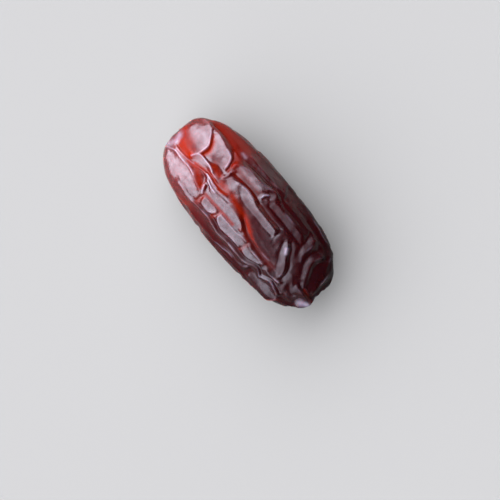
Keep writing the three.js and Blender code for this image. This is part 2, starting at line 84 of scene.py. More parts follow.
# Fold lines of the upper side, each as (level, (x, y), ...), in mm: the height at which the line holds
# the skin over the smooth body, and the points it runs through as seen from above. A level pair
# runs from the first point to the last. A crest is the sharp upper edge of a facet.
CRESTS = [
    # Tip shoulder: the broad facet on the +Y side and the narrow ridge beside it
    (0.65, (24, 3.9), (22, 3.85), (20, 3.85), (18.3, 3.85), (16.6, 3.75), (14.6, 4.15), (13, 4.7), (11.6, 5)),
    ((0.65, 0.5), (11.6, 5), (10.7, 5.6), (10.5, 7.1)),
    ((0.5, 0.15), (24.4, 3.3), (23, 3.2), (21.5, 3.2), (19.8, 3.15), (18, 2.95), (16.5, 2.6), (15, 2.3),
     (13.6, 2.05)),
    # Tip dome and the facet behind it
    ((0.65, 0.85), (17.4, 0.3), (17.3, -1.6), (17.4, -2.6), (18.2, -3.6), (19, -4.5), (19.8, -5.2)),
    ((0.85, 1), (19.8, -5.2), (21.6, -5.4), (23, -4.7), (23.9, -3.2)),
    ((0.45, 0.85), (11.1, -2.2), (11.3, -3.2), (11.7, -4), (12.3, -4.6), (13.4, -4.9), (15, -5.2),
     (16.4, -5.5), (17.8, -5.6), (18.8, -5.4)),
    (0.35, (9.8, -0.4), (9.4, -1.3), (9.6, -2.3), (9.3, -3.2)),
    # The long crest on the -Y side of the main valley, forked near the tip
    (0.6, (18.3, 1.9), (17.8, 0.8), (17.2, 0.25), (16, 0.15), (14.8, 0.15), (13.6, 0.25), (12.6, 0.65),
     (11.6, 1), (10.4, 0.9)),
    ((0.5, 0.2), (10.4, 0.9), (9.6, 0.3), (9, -0.6)),
    ((0.2, 0.85), (9, -0.6), (8, -1.5), (6.5, -2.15)),
    ((0.85, 0.6), (6.5, -2.15), (5, -2.6), (3.3, -2.7), (1.8, -2.5)),
    (0.6, (1.8, -2.5), (0.5, -2), (-1, -1.75), (-3, -1.7), (-5, -1.7), (-6.9, -1.6)),
    # Bowl between the tip shoulder and the long facet
    (0.5, (10.2, 5.4), (10.8, 4.7), (11.4, 3.8)),
    # Facet with a doubled edge, in the middle on the +Y side
    (0.6, (-1.7, 4), (-1.1, 3.4), (0, 2.9), (1.5, 2.6), (3.5, 2.5), (5.5, 2.65), (7, 2.9), (8.5, 3.05),
     (10, 2.95), (11.3, 2.6)),
    (0.35, (4.8, 2), (6, 2.1), (8, 2.3), (10, 2.25), (11.6, 1.9), (12.8, 1.8), (13.6, 2.05)),
    # Row of blocks between that facet and the long dark crease
    (0.4, (3.9, 5.9), (3.6, 5.3), (1.5, 5.2), (-0.5, 5.2), (-1.8, 5.1), (-3, 4.8), (-4.5, 4.8)),
    (0.45, (3.9, 5.9), (3.4, 6.5), (2.6, 6.9), (1.4, 7.2), (0, 7.1), (-2, 6.8), (-4.2, 6.8)),
    (0.4, (-5.6, 5), (-7, 5.2), (-9, 5.2), (-10.6, 5.2)),
    (0.5, (-5.6, 6.7), (-6.8, 6.9), (-8.4, 6.5), (-10, 5.8)),
    (0.45, (9, 5.7), (8.6, 5.45), (7, 5.35), (5.6, 5.4), (5.1, 5.8)),
    (0.45, (9, 5.7), (8.7, 6.5), (8.2, 6.95), (6.4, 6.95), (5.7, 6.5), (5.1, 5.8)),
    (0.35, (-12.4, 5.4), (-13.4, 5.5), (-14.6, 5.3), (-16.2, 5.1)),
    # The edge that overhangs the long dark crease, and the fold above it
    ((1.2, 0.6), (15.4, 7.2), (14, 7.5), (12.5, 8), (10.5, 8)),
    ((0.6, 0.45), (10.5, 8), (7.5, 7.8), (5.2, 7.8), (3.5, 8.1), (1.3, 8.45), (-0.8, 8.3)),
    (0.4, (-0.8, 8.3), (-3, 8.1), (-6.8, 8.15), (-8.6, 7.65), (-9.8, 6.95), (-11.2, 6.85), (-12.4, 7.55)),
    ((0.35, 0.7), (-12.4, 7.55), (-13.6, 6.95), (-15, 6.3), (-16.7, 6.65), (-18, 6.95)),
    (0.3, (-8.9, 8.2), (-8, 9.2), (-6.3, 9.5), (-4, 9.35), (-1.8, 9.8), (0.5, 10.1)),
    # Low bank of the winding valley, on its -Y side
    (-0.1, (-0.5, 1.5), (-2.2, 2.35), (-3.7, 3), (-5.1, 3.4), (-8, 3.75), (-11, 3.85)),
    # Middle of the -Y side
    (1.05, (10.3, -4), (9.4, -4.8), (8, -5.35), (6.5, -5.75), (4.8, -5.75), (3, -5.85), (1.4, -6.2)),
    ((1.05, 0.8), (1.4, -6.2), (0, -6.8), (-1, -6.8)),
    ((0.1, 0.3), (0.85, -4.1), (0.8, -4.9), (0.4, -5.4)),
    (0.25, (-2.2, -5.6), (-4, -5.9), (-7, -5.8), (-9.5, -5.7), (-11.5, -5.6)),
    (0.35, (9.5, -8.1), (6, -8.2), (3, -8.15), (0, -8.3), (-2, -8.6), (-1.1, -9.6), (-0.5, -10.6)),
    (0.4, (-19.2, -8.4), (-16, -8.9), (-13, -9.4), (-10, -9.8), (-7, -10.3)),
    # Curved folds on the stem half
    ((0.3, 0.55), (-15.3, 4), (-15, 2.7), (-14.2, 1.6), (-13, 0.4), (-12, -0.7), (-11.2, -1.6)),
    ((0.05, 0.5), (-20.9, 1.9), (-20.2, 0.9), (-19.2, -0.7), (-18.2, -2.2), (-17.8, -3.4),
     (-17.9, -4.6), (-18.3, -5.9)),
    ((0, 0.45), (-15.8, -1.6), (-15.2, -2.8), (-14.9, -4.2), (-14.8, -5.8), (-14.3, -7.2)),
    # Puckers round the stem end
    ((1.05, 0.4), (-23.9, 2.6), (-22.8, 2.55), (-21.5, 2.6), (-20, 2.7)),
    (1.15, (-23.9, 2.6), (-23.7, 3.8), (-23, 4.8)),
    (0.1, (-23.8, 1.5), (-22.8, 1.5), (-21.6, 1.3)),
    (0.1, (-21.4, 5.7), (-20.4, 5.9), (-19.4, 5.6)),
    (1.0, (-18.6, 7.6), (-18.1, 8.2), (-17.5, 8.9), (-16.8, 9.4)),
    (0.15, (-18.5, 6.2), (-18, 5.6), (-17.7, 4.8)),
    (-0.05, (-18.8, 3.2), (-18, 2.7), (-17.3, 2)),
    (0.25, (-23, 0.8), (-22.8, -1), (-22.6, -3), (-22, -5)),
    (0.3, (-20.6, -5.2), (-20.1, -6.5), (-19.7, -7.3)),
]

# A crease is the bottom of a valley, the foot of a facet or the outer edge of a broad one.
CREASES = [
    # Outer edge of the tip shoulder, and the rim of the tip
    ((0.85, 1.4), (23.2, 4.7), (22, 5.8), (20, 7.1), (18, 7.9)),
    ((1.4, 1.1), (18, 7.9), (16, 8.5), (14, 9)),
    (0.7, (24.1, 3.4), (24.3, 1.5), (24.35, -0.5), (24.2, -2.6)),
    # Foot of the tip shoulder
    ((0.2, -0.05), (23.6, 3.6), (21.5, 3.55), (19, 3.55), (17, 3.4)),
    ((-0.1, -0.55), (17, 3.4), (16, 3.1), (14.8, 2.75), (13.6, 2.55), (12.7, 2.95)),
    ((-0.55, -0.3), (12.7, 2.95), (12, 3.6), (11.7, 4.2)),
    # The long winding valley from the tip to the stem end
    ((-0.4, -0.6), (22.4, 2.6), (21, 2.8), (19.5, 2.8), (18, 2.65), (16.5, 2.5), (15, 2), (13.5, 1.5),
     (12, 1.3)),
    (-0.5, (12, 1.3), (10, 1.65), (8.3, 1.7), (7, 1.4), (6, 0.9), (5.2, 0), (4.4, -0.9)),
    (-0.55, (4.4, -0.9), (2.5, -0.3), (1, -0.2), (-1.5, -0.2), (-4, -0.25), (-7.2, -0.4)),
    ((-0.5, -0.4), (-0.3, 1.9), (-2, 2.75), (-3.5, 3.4), (-5, 3.85), (-8, 4.2), (-11, 4.3), (-14.3, 4.1)),
    # Foot of the tip dome and of the facet behind it
    ((-0.4, 0.3), (16.7, -0.4), (16.5, -1.6), (16.8, -2.7), (17.6, -3.8), (18.5, -4.7), (19.3, -5.2)),
    ((-0.55, -0.4), (10.6, -1.2), (11.6, -1.5), (12.8, -1.5), (13.7, -1.1), (14.3, -0.7), (15.5, -0.45),
     (16.7, -0.4)),
    (-0.4, (10.5, -2), (10.6, -2.9), (11, -3.9), (11.6, -5), (12.6, -5.9)),
    # Bowl between the tip shoulder and the long facet
    (-0.25, (10.1, 4.3), (10.5, 3.4)),
    # The doubled edge and the row of blocks
    (0.15, (4.6, 2.3), (6, 2.4), (7, 2.6), (8.5, 2.75), (10, 2.65), (11.4, 2.3)),
    (-0.05, (3.6, 4.9), (2, 4.9), (0.5, 4.9), (-1.2, 4.8), (-2.4, 4.5)),
    (-0.1, (4.4, 5), (6, 5.1), (8, 5.15), (9.5, 5.2)),
    (-0.2, (-5.1, 4.9), (-5, 6), (-4.9, 7.3)),
    (-0.2, (4.3, 5), (4.5, 6), (4.9, 7.2)),
    (-0.25, (9.5, 5.2), (9.7, 6.2), (9.8, 7.3)),
    (-0.1, (-11.5, 5.3), (-11.4, 6.2)),
    # The long dark crease along the +Y side
    ((1.15, 0.25), (15.4, 6.8), (14, 7.1), (12.2, 7.55), (10.5, 7.6)),
    ((0.2, -0.3), (10.5, 7.6), (9, 7.5), (7.5, 7.4)),
    ((-0.3, -0.45), (7.5, 7.4), (5, 7.35), (3.5, 7.45), (2.6, 7.6), (1.4, 7.9), (0, 7.8), (-2, 7.5)),
    (-0.45, (-2, 7.5), (-4.5, 7.45), (-6.5, 7.6), (-8.2, 7.15), (-9.7, 6.5), (-11.2, 6.35), (-12.4, 7)),
    ((-0.3, -0.05), (-12.4, 7), (-13.5, 6.5), (-15, 5.8), (-16.5, 6.1), (-18, 6.3)),
    # Outer edge of the facet above it on the stem half
    ((1.2, 0.6), (-16.8, 8.7), (-15, 9), (-13, 9.2), (-11, 9.2)),
    (-0.3, (-9.8, 8.2), (-9.4, 9.4), (-8.6, 10.2)),
    # Middle of the -Y side
    (-0.6, (9.2, -3.1), (8, -3.2), (6.5, -3.4), (5, -3.6), (3, -3.65), (1.5, -3.5), (0, -3.2)),
    (-0.4, (0, -3.2), (-2, -3), (-4, -2.9), (-7, -2.9)),
    (-0.2, (0.3, -4.2), (0.1, -4.9), (-0.5, -5.3)),
    (-0.35, (-1.8, -4.3), (-5, -4.4), (-9, -4.3), (-12.3, -4.2)),
    (-0.05, (-1.5, -7.8), (-4, -7), (-8, -7), (-12, -7)),
    (-0.35, (-3, -8.3), (-2.2, -9.5), (-1.5, -10.6)),
    ((-0.25, 0), (20, -6.9), (16, -7), (12, -6.5), (9, -6.9), (6, -7.3), (3, -7.4), (0.5, -7.8)),
    (-0.2, (-18, -7.9), (-14.5, -8.2), (-11, -8.5), (-7.5, -8.9), (-4, -8.9)),
    # Stem half
    (-0.3, (-13.5, 3.7), (-12.8, 2.6), (-12, 1.6), (-11.3, 0.6), (-10.7, -0.4), (-10.2, -1.6)),
    (-0.4, (-16.1, 4), (-15.9, 2.5), (-15.1, 1), (-13.8, -0.3), (-12.7, -1.7), (-11.4, -2.7)),
    (-0.35, (-8.6, 0.5), (-7.8, -0.6), (-7.8, -1.8)),
    (-0.35, (-21.8, 1.4), (-21, -0.2), (-19.8, -1.9), (-19, -3.4), (-19.1, -5.2), (-19.4, -6.6)),
    ((-0.2, -0.4), (-18.6, 0.8), (-17.4, -0.9), (-16.5, -2.4), (-16.2, -4.4), (-16.5, -6.6)),
    (-0.35, (-14.1, -2.3), (-13.4, -4), (-13.2, -5.6), (-12.6, -7.2)),
    (-0.4, (-23.9, 1.8), (-22.8, 1.9), (-21.2, 1.9), (-19.8, 1.8)),
    (-0.15, (-22, 3.9), (-21.7, 4.8), (-21.4, 5.4)),
    (-0.2, (-20.6, 4.6), (-19.8, 4.6), (-19, 4.3)),
    (-0.1, (-22.5, 6.2), (-21, 6.5), (-19.5, 6.5)),
    (-0.3, (-19.8, 7.6), (-18.9, 8.6)),
    (-0.25, (-23.9, 0.5), (-23.8, -1.5), (-23.5, -3.6)),
]

# Fold lines of the underside and flanks, drawn by rule: crests and creases take turns round the
# fruit, each broken into a few pieces that wander and stop at different places.
UNDER_SEED = 20
UNDER_FROM = 84.0  # degrees from the top, on the +Y side
UNDER_TO = 276.0
UNDER_LINES = 19
UNDER_CREST_LEVEL = (0.25, 0.5)
UNDER_CREASE_LEVEL = (-0.5, -0.25)
UNDER_WANDER = 4.5  # degrees
UNDER_REACH = 21.5  # mm from the middle to the outermost point of a line
UNDER_PIECES = 3
UNDER_POINTS = 5
UNDER_GAP = 2.2
UNDER_STAGGER = 0.6  # share of a piece by which the breaks of a line may be shifted
TIES = 14  # short creases that cut across the crests
TIE_LEVEL = (-0.3, 0.0)
TIE_SPAN = 16.0  # degrees
TIE_LEAN = 1.2


class Chance:
    """The small repeatable random source that the solid uses too."""

    FACTOR = 1664525
    STEP = 1013904223
    RANGE = 2**32

    def __init__(self, seed):
        self.seed = seed

    def between(self, low, high):
        self.seed = (self.seed * self.FACTOR + self.STEP) % self.RANGE
        return low + (high - low) * self.seed / self.RANGE


def girth(x):
    """Share of the full girth at a place along the fruit."""
    out = np.minimum(1, np.abs(2 * np.asarray(x, float) / LENGTH))
    return (1 - out**END_POWER) ** (1 / END_POWER) * (1 - END_TAPER * out**2)


def body_points(x, turn):
    """Points of the smooth body, by place along the fruit and turn from the top towards +Y."""
    share = girth(x)
    across = WIDTH / 2 * share * np.sin(turn)
    up = HEIGHT / 2 * (1 + share * np.cos(turn))
    return np.stack(np.broadcast_arrays(x, across, up), axis=-1)


def even_stations(count):
    """Places along the fruit that cut half of its outline into equal lengths."""
    way = -np.cos(np.linspace(0, np.pi, OUTLINE_STEPS))
    x = np.sign(way) * np.abs(way) ** (2 / END_POWER) * LENGTH / 2
    steps = np.hypot(np.diff(x), np.diff(WIDTH / 2 * girth(x)))
    length = np.concatenate([[0], np.cumsum(steps)])
    return np.interp(np.linspace(0, length[-1], count + 1), length, x)


def smooth_line(corners):
    """Points of a smooth line through its corners."""
    first = 2 * corners[0] - corners[1]
    last = 2 * corners[-1] - corners[-2]
    padded = np.vstack([first, corners, last])
    t = (np.arange(LINE_STEPS_PER_POINT) / LINE_STEPS_PER_POINT)[:, None]
    pieces = []
    for before, here, there, after in zip(padded, padded[1:], padded[2:], padded[3:]):
        leave = (there - before) / 2
        arrive = (after - here) / 2
        bend = 3 * (there - here) - 2 * leave - arrive
        twist = 2 * (here - there) + leave + arrive
        pieces.append(here + leave * t + bend * t**2 + twist * t**3)
    return np.vstack([*pieces, corners[-1:]])


def fold_line(level, places):
    """A fold line as points of the smooth body, from places along the fruit and turns in degrees."""
    start, end = level if isinstance(level, tuple) else (level, level)
    line = smooth_line(np.array(places, float))
    return start, end, body_points(line[:, 0], np.radians(line[:, 1]))


def turn_seen_at(x, y):
    """The turn from the top, in degrees, at which the body seen from above lies at x, y."""
    share = y / max(LEAST_HALF_WIDTH, WIDTH / 2 * girth(x))
    return math.degrees(math.asin(min(TO_THE_SIDE, max(-TO_THE_SIDE, share))))


def upper_folds(lines):
    return [fold_line(level, [(x, turn_seen_at(x, y)) for x, y in seen]) for level, *seen in lines]


def under_line(chance, turn, levels):
    """One line along the underside, broken into pieces."""
    span = 2 * UNDER_REACH / UNDER_PIECES
    shift = chance.between(-0.5, 0.5) * span * UNDER_STAGGER
    pieces = []
    for piece in range(UNDER_PIECES):
        start = max(-UNDER_REACH, -UNDER_REACH + piece * span + shift)
        end = min(UNDER_REACH, -UNDER_REACH + (piece + 1) * span + shift - UNDER_GAP)
        level = chance.between(*levels)
        places = []
        for x in np.linspace(start, end, UNDER_POINTS):
            places.append((x, turn + chance.between(-UNDER_WANDER, UNDER_WANDER)))
        pieces.append(fold_line(level, places))
    return pieces


def under_tie(chance):
    """A short crease that ties neighbouring lines of the underside together."""
    x = chance.between(-UNDER_REACH, UNDER_REACH)
    turn = chance.between(UNDER_FROM, UNDER_TO - TIE_SPAN)
    lean = chance.between(-TIE_LEAN, TIE_LEAN)
    level = chance.between(*TIE_LEVEL)
    return fold_line(level, [(x, turn), (x + lean, turn + TIE_SPAN / 2), (x + lean / 2, turn + TIE_SPAN)])


def all_folds():
    crests = upper_folds(CRESTS)
    creases = upper_folds(CREASES)
    chance = Chance(UNDER_SEED)
    for line, turn in enumerate(np.linspace(UNDER_FROM, UNDER_TO, UNDER_LINES)):
        if line % 2:
            crests += under_line(chance, turn, UNDER_CREST_LEVEL)
        else:
            creases += under_line(chance, turn, UNDER_CREASE_LEVEL)
    creases += [under_tie(chance) for _ in range(TIES)]
    return crests, creases


def approach(points, line):
    """Distance from each point to a line, and how far along the line the nearest place is."""
    distance = np.full(len(points), np.inf)
    place = np.zeros(len(points))
    for i, (start, end) in enumerate(zip(line, line[1:])):
        way = end - start
        offset = points - start
        along = np.clip(offset @ way / (way @ way), 0, 1)
        offset -= along[:, None] * way
        d = np.sqrt(np.einsum("ij,ij->i", offset, offset))
        nearer = d < distance
        distance[nearer] = d[nearer]
        place[nearer] = (i + along[nearer]) / (len(line) - 1)
    return distance, place


def pull(points, folds, rounding):
    """The pull of one kind of fold line: how near the lines are, and at what level they hold."""
    total = np.zeros(len(points))
    levels = np.zeros(len(points))
    for start, end, line in folds:
        low = line.min(axis=0) - FOLD_REACH
        high = line.max(axis=0) + FOLD_REACH
        near = np.flatnonzero(((points > low) & (points < high)).all(axis=1))
        distance, place = approach(points[near], line)
        weight = np.hypot(distance, rounding) ** -NEARNESS_POWER
        weight[distance > FOLD_REACH] = 0
        total[near] += weight
        levels[near] += weight * (start + (end - start) * place)
    level = np.divide(levels, total, out=np.zeros(len(points)), where=total > 0)
    return total ** (SLOPE_POWER / NEARNESS_POWER), level


def bump(distance, width):
    """A smooth bump of height 1 at the middle and the given width."""
    return np.exp(-((distance / width) ** 2))


def fold_heights(points, crests, creases):
    """Height of the folded skin over the smooth body, and how much of a crest's pale wax and painted sheen
    each point has.
    """
    crest, crest_level = pull(points, crests, CREST_ROUNDING)
    crease, crease_level = pull(points, creases, CREASE_ROUNDING)
    slack = SLACK_REACH**-SLOPE_POWER
    levels = crest * crest_level + crease * crease_level + slack * SLACK_LEVEL
    return levels / (crest + crease + slack), bump(crest ** (-1 / SLOPE_POWER), WAX_SHEEN_WIDTH)


# Ends, in mm
SCAR_RADIUS = 2.2
SCAR_DEPTH = 0.8
SCAR_STEEPNESS = 4  # how sharply the scar drops at its edge
SCAR_RIM = 0.12
SCAR_RIM_RADIUS = 1.5 * SCAR_RADIUS
SCAR_RIM_WIDTH = 1.2
PLEATS = 9
PLEAT_HEIGHT = 0.1
PLEAT_REACH = 2.8
NUB_RADIUS = 0.7
NUB_HEIGHT = 0.35
DIMPLE_DEPTH = 0.25
DIMPLE_RADIUS = 1.6
DIMPLE_WIDTH = 0.7


def end_heights(points):
    """The puckered scar where the stalk was, and the small nub at the tip."""
    off = np.hypot(points[:, 1], points[:, 2] - HEIGHT / 2)
    nub = NUB_HEIGHT * bump(off, NUB_RADIUS) - DIMPLE_DEPTH * bump(off - DIMPLE_RADIUS, DIMPLE_WIDTH)
    turn = np.arctan2(points[:, 1], points[:, 2] - HEIGHT / 2)
    pit = SCAR_DEPTH * np.exp(-((off / SCAR_RADIUS) ** SCAR_STEEPNESS))
    rim = SCAR_RIM * bump(off - SCAR_RIM_RADIUS, SCAR_RIM_WIDTH)
    pleats = PLEAT_HEIGHT * np.cos(PLEATS * turn) * bump(off - SCAR_RIM_RADIUS, PLEAT_REACH)
    scar = rim - pit + pleats * np.minimum(1, off / SCAR_RADIUS)
    return np.where(points[:, 0] > 0, nub, scar)


# Finer relief that the solid leaves out, in mm
WAVER = 0.12  # how far the fold lines waver sideways
WAVER_SIZE = 2.2
WAVER_SEEDS = (1, 2, 3)  # one for each axis
PUCKER = 0.045  # height of the small unevenness of the skin
PUCKER_SIZE = 1.3
PUCKER_SEED = 4

# Pale wax along the crests, partly a painted sheen on their edges, in mm, in patches where the noise rises
# through the given range
WAX_SHEEN_WIDTH = 0.22
WAX_SHEEN_STRENGTH = 0.15
WAX_SHEEN_PATCH_SIZE = 3.0
WAX_SHEEN_PATCH_RANGE = (-0.1, 0.5)
WAX_SHEEN_PATCH_SEED = 5

NOISE_SHIFT = (7.3, 3.1, 5.7)  # how far apart, in features, neighbouring seeds read the noise


def uneven(points, size, seed):
    """Smooth noise from about -1 to 1 at each point, with features of the given size."""
    shift = Vector([seed * way for way in NOISE_SHIFT])
    return np.array([noise.noise(Vector(p) / size + shift) for p in points])


def smoothstep(value, low, high):
    t = np.clip((value - low) / (high - low), 0, 1)
    return t * t * (3 - 2 * t)


def ring_faces(rings, around):
    """Faces of a ball of rings whose first and last vertices are its two ends."""
    faces = []
    last = rings * around + 1
    for j in range(around):
        k = (j + 1) % around
        faces.append((0, 1 + j, 1 + k))
        faces.append((last, last - around + k, last - around + j))
    for i in range(rings - 1):
        low = 1 + i * around
        high = low + around
        for j in range(around):
            k = (j + 1) % around
            faces.append((low + j, high + j, high + k, low + k))
    return faces


def body_grid():
    """Vertices of the smooth body and their outward directions, ends included."""
    stations = even_stations(ALONG)
    turns = np.linspace(0, 2 * np.pi, AROUND, endpoint=False)
    turns -= FINER_ON_TOP * np.sin(turns)
    x, turn = np.meshgrid(stations[1:-1], turns, indexing="ij")
    grid = body_points(x, turn)
    along = np.gradient(grid, axis=0)
    across = np.roll(grid, -1, axis=1) - np.roll(grid, 1, axis=1)
    normal = np.cross(along, across)
    normal /= np.linalg.norm(normal, axis=2, keepdims=True)
    ends = np.array([[stations[0], 0, HEIGHT / 2], [stations[-1], 0, HEIGHT / 2]])
    points = np.vstack([ends[:1], grid.reshape(-1, 3), ends[1:]])
    normals = np.vstack([[[-1, 0, 0]], normal.reshape(-1, 3), [[1, 0, 0]]])
    return points, normals


# Painted glow: thin skin painted bright red as if light shone through it, as (strength, radius in mm, (x, y),
# ...) seen from above
PAINTED_GLOW_PATCHES = [
    (0.55, 0.9, (5.4, 0.8), (3.5, 1.2), (1.5, 1.4), (0, 1.6)),
    (0.7, 0.6, (-0.6, 1.6), (-2.1, 2.35), (-3.4, 2.95)),
    (0.5, 0.4, (-3.4, 2.95), (-5, 3.45)),
    (0.3, 0.35, (-5, 3.45), (-7, 3.75)),
    (0.22, 0.9, (-1.5, 3.5), (-4, 4.1)),
    (0.13, 0.9, (-4, 4.1), (-8, 4.3), (-12.5, 4.2)),
    (0.8, 0.5, (16.5, 2.4), (14, 1.7), (12, 1.4), (10, 1.8), (8, 1.9), (6.5, 1.4)),
    (0.6, 0.9, (6.5, 0.9), (8, 0.9), (9.2, 0.9)),
    (0.75, 1.5, (18.8, 2), (20.5, 1.9), (22.2, 1.2)),
    (0.8, 0.8, (18.4, 2.5), (20.5, 2.7), (22.2, 2.4)),
    (0.5, 1.1, (20.6, 0.3), (22.4, -0.1), (23.8, -0.9)),
    (0.4, 1.3, (10.3, -3.6), (11, -5.2), (12.5, -6.4), (16, -7.2), (20, -7), (23, -5.8)),
    (0.4, 2.6, (12, -8.5), (18, -8), (22, -6.5)),
    (0.9, 0.6, (24.6, 2), (24.8, -0.1), (24.5, -2.5), (23.6, -5)),
    (0.7, 0.7, (23.8, 4.7), (22, 6.6), (20, 8), (18, 8.8)),
    (0.5, 0.9, (18, 8.8), (16.5, 9.2)),
    (0.4, 1.2, (16.5, 9.2), (14.5, 9.6), (12.5, 9.5)),
    (0.25, 1.2, (12.5, 9.5), (10.5, 9.2)),
    (0.6, 0.9, (11.8, 4.5), (13, 4), (14.6, 3.2), (16, 3), (17.8, 3.1)),
    (0.55, 0.9, (10.8, 0), (12, -0.2), (13.3, -0.6)),
    (0.9, 0.6, (16.8, -0.2), (16.5, -1.6), (16.8, -2.8), (17.6, -3.8)),
    (0.8, 0.35, (17.6, -3.8), (18.6, -4.8)),
    (0.5, 0.7, (9.8, 7.3), (9.6, 5.2)),
    (0.4, 0.6, (4.9, 7.2), (4.3, 5)),
    (0.45, 0.45, (0.5, 4.7), (4, 4.8), (9.5, 5)),
    (0.25, 0.5, (-5.1, 4.9), (-4.9, 7.2)),
    (0.5, 0.4, (-18.8, 7.6), (-18, 8.5), (-17.1, 9.3)),
    (0.35, 0.3, (-24.2, 2), (-23, 2), (-21.5, 1.9)),
    (0.3, 0.6, (9.2, -3.1), (5, -3.3), (1.5, -3.1)),
    (0.12, 0.5, (1.5, -3.1), (-1, -2.6), (-6, -2.4)),
    (0.45, 0.6, (10.4, -2.4), (10.7, -3.6), (11.4, -5), (12.5, -5.6)),
    (0.2, 0.6, (9, -4), (5, -4.3), (2, -4.3)),
]

# Skin along the flanks whose wax has been rubbed dull, given in the same way
DULL_SKIN = [
    (0.9, 2.6, (-21, -6), (-15, -8.8), (-8, -10.3), (0, -10.8)),
    (0.7, 2.0, (0, -10.8), (9, -10), (17, -8.8), (21, -7.6)),
    (0.95, 2.4, (-22, 6.4), (-19, 8.2), (-15, 9.7), (-8, 10.4), (0, 10.8)),
    (0.9, 2.4, (-8, 9.8), (0, 9.9), (8, 9.9)),
    (0.8, 1.2, (-10.2, 9.8), (-9.3, 8.3)),
    (0.5, 2.4, (-12, -7), (-6, -7.4), (-1, -8)),
    (0.5, 4, (-21, 1), (-19, 5)),
    (0.4, 5, (-20, -4), (-14, -3), (-13, 2)),
    (0.6, 1.3, (-15.2, 3.8), (-14, 1.8)),
    (0.9, 1.9, (-11.5, 2.4), (-7.5, 2), (-4, 1.3), (-2, 0.6)),
    (0.95, 1.4, (-10.5, 3.3), (-6, 2.9), (-3.5, 2)),
    (0.9, 0.9, (-9.2, 1), (-9, -0.5), (-8.8, -2.4)),
    (0.8, 0.8, (-12.8, 8.6), (-11, 8.6), (-10, 8.2)),
    (0.9, 3, (-24, -4.3), (-24.2, 0), (-24, 2.5)),
    (0.6, 0.9, (-2.5, -0.6), (0.5, -0.6), (3.2, -1)),
    (0.9, 0.6, (0, -3.7), (-3.5, -3.5), (-7, -3.5)),
    (0.95, 0.6, (0, 1.5), (-2.1, 2.35), (-3.6, 3), (-5, 3.45)),
    (0.7, 0.6, (10.2, -2.4), (10.6, -3.6), (11.2, -5)),
    (0.5, 1, (-11, -4.9), (-1.5, -5.1)),
    (0.9, 0.7, (9.8, 7.7), (6, 7.5), (3.5, 7.65), (1.3, 8), (-0.8, 7.9), (-3, 7.65), (-6.8, 7.75)),
    (0.8, 0.5, (-6.8, 7.85), (-8.4, 7.4), (-9.8, 6.75), (-12, 6.9)),
    (0.85, 1.6, (19, 0.5), (21.5, 0.4), (23, -0.2)),
    (0.6, 0.5, (0.5, 4.7), (4, 4.8), (9.5, 5)),
    (0.6, 1.1, (8.6, 0.9), (9, 0), (8.8, -1.2)),
    (0.9, 1.2, (18.8, 2), (20.5, 1.9), (22, 1.4)),
    (0.95, 0.9, (5.4, 0.8), (3.5, 1.2), (1.5, 1.3), (0, 1.5)),
    (0.9, 0.9, (11.8, 4.6), (13, 4.1), (14.6, 3.3)),
    (0.85, 0.8, (13, 2.9), (15.2, 2.9), (17.5, 3), (19, 2.9)),
    (0.8, 0.9, (-18, 3.4), (-16.8, 1.2), (-15.4, -0.8), (-14, -2.4)),
    (0.9, 1.1, (-13, 3.9), (-9, 4), (-4, 3.7)),
    (0.6, 0.6, (9, -3.9), (5, -4.1), (2, -4.1)),
    (0.5, 1, (12.5, -2.2), (15, -1.6)),
    (0.9, 0.8, (10.8, 0), (12, -0.2), (13.3, -0.6)),
    (0.9, 1.3, (10.4, -4), (11, -5.4), (12.5, -6.6), (16, -7.2), (20, -7)),
]

# Painted highlights: short crests painted nearly white as if they caught the light, given in the same way
PAINTED_HIGHLIGHT_LINES = [
    (0.26, 0.13, (12.4, 0.65), (13.6, 0.3), (15, 0.15), (16.6, 0.15), (17.4, 0.4), (17.9, 1.1), (18.2, 1.8)),
    (0.2, 0.13, (18, 1.4), (17.6, 0.2), (17.5, -1.4), (17.6, -2.5), (18.5, -3.7), (19.6, -4.9)),
    (0.2, 0.2, (11.2, -2.4), (11.7, -3.8), (12.5, -4.7), (14, -5)),
    (0.32, 0.15, (10.3, 5.3), (10.9, 4.6), (11.4, 3.9)),
    (0.3, 0.13, (8.5, 3.1), (10, 3), (11.4, 2.6)),
    (0.35, 0.1, (9, 2.3), (11, 2.1), (12.8, 1.85)),
    (0.2, 0.9, (24.2, 3.4), (23.3, 2.8), (23.6, 1)),
    (0.2, 0.14, (14.6, 4.15), (16.6, 3.75), (19, 3.85), (22, 3.85), (24, 3.9)),
    (0.12, 0.12, (16.5, 2.65), (18, 3), (20, 3.2), (22, 3.2)),
    (0.25, 0.4, (-12.2, -0.3), (-11.6, -1)),
    (0.35, 0.7, (-23.6, 3.3), (-22.9, 4.1)),
    (0.15, 0.4, (10.2, -7.2), (11.2, -7.35)),
    (0.3, 0.15, (0.85, -4.2), (0.8, -5), (0.3, -5.6)),
]
SCAR_PALENESS = 0.15
SCAR_PALE_WIDTH = 0.9


def patch_values(points, patches):
    """How strongly each point lies in one of the patches."""
    most = np.zeros(len(points))
    for strength, radius, *seen in patches:
        _, _, line = fold_line(0, [(x, turn_seen_at(x, y)) for x, y in seen])
        distance, _ = approach(points, line)
        most = np.maximum(most, strength * bump(distance, radius))
    return most


def wax_and_highlight_paleness(points, wax_and_sheen):
    """How much pale colour shows: wax with a painted sheen in patches along the crests, painted highlights on
    a few crests and a pale ring round the scar.
    """
    patchy = smoothstep(uneven(points, WAX_SHEEN_PATCH_SIZE, WAX_SHEEN_PATCH_SEED), *WAX_SHEEN_PATCH_RANGE)
    off = np.hypot(points[:, 1], points[:, 2] - HEIGHT / 2)
    ring = SCAR_PALENESS * bump(off - SCAR_RADIUS, SCAR_PALE_WIDTH) * (points[:, 0] < 0)
    return np.maximum.reduce([WAX_SHEEN_STRENGTH * wax_and_sheen * patchy, patch_values(points, PAINTED_HIGHLIGHT_LINES), ring])


